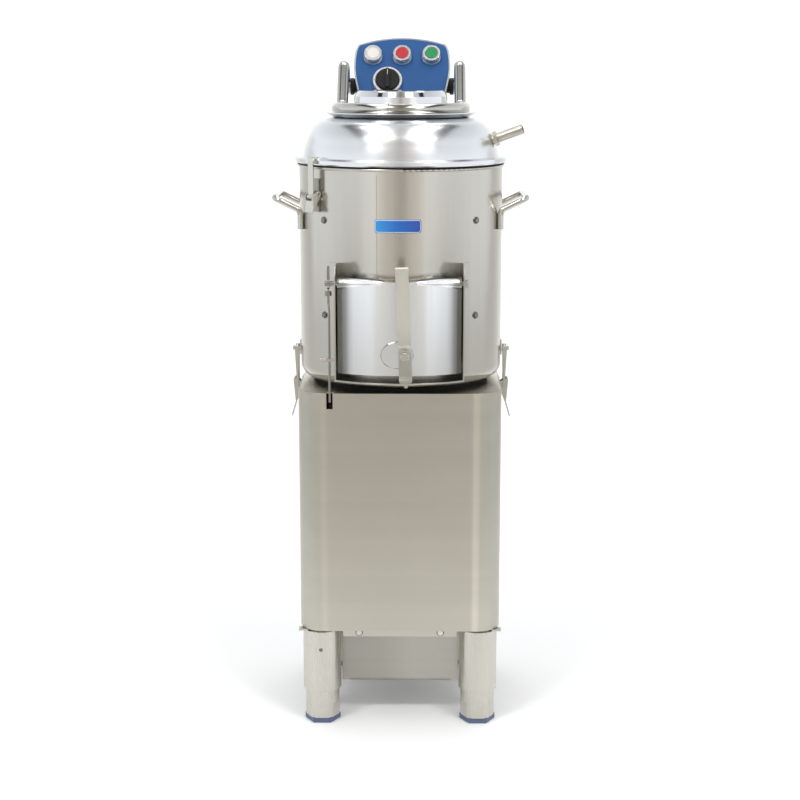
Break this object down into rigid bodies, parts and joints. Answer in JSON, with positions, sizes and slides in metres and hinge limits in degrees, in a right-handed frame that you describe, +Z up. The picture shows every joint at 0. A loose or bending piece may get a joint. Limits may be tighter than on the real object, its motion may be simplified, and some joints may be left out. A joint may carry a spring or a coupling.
{
  "type": "electric potato peeler",
  "caption": "Floor-standing electric potato peeler: steel drum with abrasive disc on a cabinet, hinged fill cap, discharge door, toggle latches, control panel and pull-out filter tray.",
  "frame": {"origin": "on the floor under the drum axis, midway between front and rear extremes", "axes": "+Z up, front (discharge door) faces -Y, +X to the right seen from the front"},
  "size_m": [0.413, 0.4652, 1.1058],
  "materials": {
    "steel": "vertical brushed stainless",
    "steel_bright": "bright drawn stainless",
    "leg_steel": "satin stainless tube",
    "alu_spun": "spun satin aluminium",
    "alu_polished": "polished aluminium",
    "alu_cast": "cast aluminium, hand polished",
    "alu_plain": "machined",
    "pad_plastic": "blue-grey moulded",
    "black_plastic": "moulded, ribbed",
    "black_rubber": "matt",
    "blue_face": "satin blue film",
    "lens_white": "opal",
    "button_red": "moulded",
    "button_green": "moulded",
    "bezel_chrome": "satin chrome",
    "abrasive_grit": "bonded silicon carbide grit",
    "motor_paint": "satin"
  },
  "bodies": {
    "frame": {"abrasive_liner": "abrasive_grit", "base_frame": "steel", "bearing_housing": "alu_plain", "button_bezels": "bezel_chrome", "cabinet_back_panel": "steel", "cabinet_deck": "steel", "cabinet_wrap": "steel", "cable_gland": "black_plastic", "control_housing": "steel", "control_panel": "blue_face", "discharge_chute": "steel", "dome_lid": "alu_spun", "drain_pipe": "steel", "drive_belt": "black_rubber", "drum": "steel", "drum_ring": "black_rubber", "hinge_bushes": "black_plastic", "hinge_pins": "steel_bright", "leg_tubes": "leg_steel", "lid_latch_base": "steel_bright", "lid_seal": "black_rubber", "microswitch": "black_plastic", "motor": "motor_paint", "panel_screws": "steel_bright", "pilot_lamp": "lens_white", "shaft_bearings": "steel_bright", "side_handles": "steel_bright", "side_latch_brackets": "steel_bright", "water_nozzle": "steel_bright"},
    "foot_front_left": {"foot_sleeve_front_left": "leg_steel", "foot_pad_front_left": "pad_plastic"},
    "foot_front_right": {"foot_sleeve_front_right": "leg_steel", "foot_pad_front_right": "pad_plastic"},
    "foot_rear_left": {"foot_sleeve_rear_left": "leg_steel", "foot_pad_rear_left": "pad_plastic"},
    "foot_rear_right": {"foot_sleeve_rear_right": "leg_steel", "foot_pad_rear_right": "pad_plastic"},
    "tray": {"filter_tray": "steel", "filter_screen": "steel"},
    "disc": {"abrasive_disc": "abrasive_grit", "disc_nut": "steel_bright", "drive_shaft": "steel_bright", "driven_pulley": "alu_plain"},
    "rotor": {"motor_pulley": "alu_plain"},
    "door": {"discharge_door": "alu_cast", "door_hinge_pin": "steel_bright", "lever_bolt": "steel_bright"},
    "lever": {"door_lever": "steel_bright"},
    "rod": {"interlock_rod": "steel_bright"},
    "cap": {"fill_cap": "alu_polished", "hoop_handle": "steel_bright"},
    "stop": {"stop_button": "button_red"},
    "start": {"start_button": "button_green"},
    "timer": {"timer_knob": "black_plastic"},
    "lid_lever": {"lid_latch_lever": "steel_bright"},
    "lid_strap": {"lid_latch_strap": "steel_bright"},
    "latch_left": {"side_latch_lever_left": "steel_bright"},
    "bail_left": {"side_latch_bail_left": "steel_bright"},
    "latch_right": {"side_latch_lever_right": "steel_bright"},
    "bail_right": {"side_latch_bail_right": "steel_bright"}
  },
  "joints": [
    {"name": "foot_height_front_left", "type": "slide", "parent": "frame", "child": "foot_front_left", "axis": [0, 0, 1], "range_m": [-0.02, 0]},
    {"name": "foot_height_front_right", "type": "slide", "parent": "frame", "child": "foot_front_right", "axis": [0, 0, 1], "range_m": [-0.02, 0]},
    {"name": "foot_height_rear_left", "type": "slide", "parent": "frame", "child": "foot_rear_left", "axis": [0, 0, 1], "range_m": [-0.02, 0]},
    {"name": "foot_height_rear_right", "type": "slide", "parent": "frame", "child": "foot_rear_right", "axis": [0, 0, 1], "range_m": [-0.02, 0]},
    {"name": "filter_tray_slide", "type": "slide", "parent": "frame", "child": "tray", "axis": [0, -1, 0], "range_m": [0, 0.22]},
    {"name": "disc_spin", "type": "hinge", "parent": "frame", "child": "disc", "pos_m": [0, 0, 0.58], "axis": [0, 0, 1], "continuous": true},
    {"name": "motor_spin", "type": "hinge", "parent": "frame", "child": "rotor", "pos_m": [0.075, -0.088, 0.466], "axis": [0, 0, 1], "continuous": true},
    {"name": "discharge_door_hinge", "type": "hinge", "parent": "frame", "child": "door", "pos_m": [0, -0.178, 0.7302], "axis": [-1, 0, 0], "range_deg": [0, 64]},
    {"name": "interlock_rod_slide", "type": "slide", "parent": "frame", "child": "rod", "axis": [0, 0, 1], "range_m": [-0.0053, 0]},
    {"name": "door_lever_turn", "type": "hinge", "parent": "door", "child": "lever", "pos_m": [0.0087, -0.216, 0.623], "axis": [0, -1, 0], "range_deg": [0, 90]},
    {"name": "fill_cap_hinge", "type": "hinge", "parent": "frame", "child": "cap", "pos_m": [0, 0.168, 1.0245], "axis": [-1, 0, 0], "range_deg": [0, 98]},
    {"name": "stop_button_press", "type": "slide", "parent": "frame", "child": "stop", "axis": [0, -0.866, 0.5], "range_m": [-0.004, 0], "stiffness_N_per_m": 400},
    {"name": "start_button_press", "type": "slide", "parent": "frame", "child": "start", "axis": [0, -0.866, 0.5], "range_m": [-0.004, 0], "stiffness_N_per_m": 400},
    {"name": "timer_turn", "type": "hinge", "parent": "frame", "child": "timer", "pos_m": [-0.0247, 0.1614, 1.03287], "axis": [0, 0.866, -0.5], "range_deg": [0, 300]},
    {"name": "lid_latch_lever_hinge", "type": "hinge", "parent": "frame", "child": "lid_lever", "pos_m": [-0.13396, -0.10466, 0.862], "axis": [-0.6157, 0.788, 0], "range_deg": [0, 55]},
    {"name": "lid_latch_strap_hinge", "type": "hinge", "parent": "lid_lever", "child": "lid_strap", "pos_m": [-0.1394, -0.10891, 0.858], "axis": [-0.6157, 0.788, 0], "range_deg": [-56, 1]},
    {"name": "side_latch_left_hinge", "type": "hinge", "parent": "frame", "child": "latch_left", "pos_m": [-0.167, 0, 0.54], "axis": [0, 1, 0], "range_deg": [0, 55]},
    {"name": "side_bail_left_hinge", "type": "hinge", "parent": "latch_left", "child": "bail_left", "pos_m": [-0.1715, 0, 0.536], "axis": [0, 1, 0], "range_deg": [-56, 1]},
    {"name": "side_latch_right_hinge", "type": "hinge", "parent": "frame", "child": "latch_right", "pos_m": [0.167, 0, 0.54], "axis": [0, -1, 0], "range_deg": [0, 55]},
    {"name": "side_bail_right_hinge", "type": "hinge", "parent": "latch_right", "child": "bail_right", "pos_m": [0.1715, 0, 0.536], "axis": [0, -1, 0], "range_deg": [-56, 1]}
  ],
  "couplings": [
    {"joint": "motor_spin", "follows": "disc_spin", "ratio": 3},
    {"joint": "interlock_rod_slide", "follows": "discharge_door_hinge", "m_per_rad": -0.0046},
    {"joint": "lid_latch_strap_hinge", "follows": "lid_latch_lever_hinge", "ratio": -1},
    {"joint": "side_bail_left_hinge", "follows": "side_latch_left_hinge", "ratio": -1},
    {"joint": "side_bail_right_hinge", "follows": "side_latch_right_hinge", "ratio": -1}
  ]
}
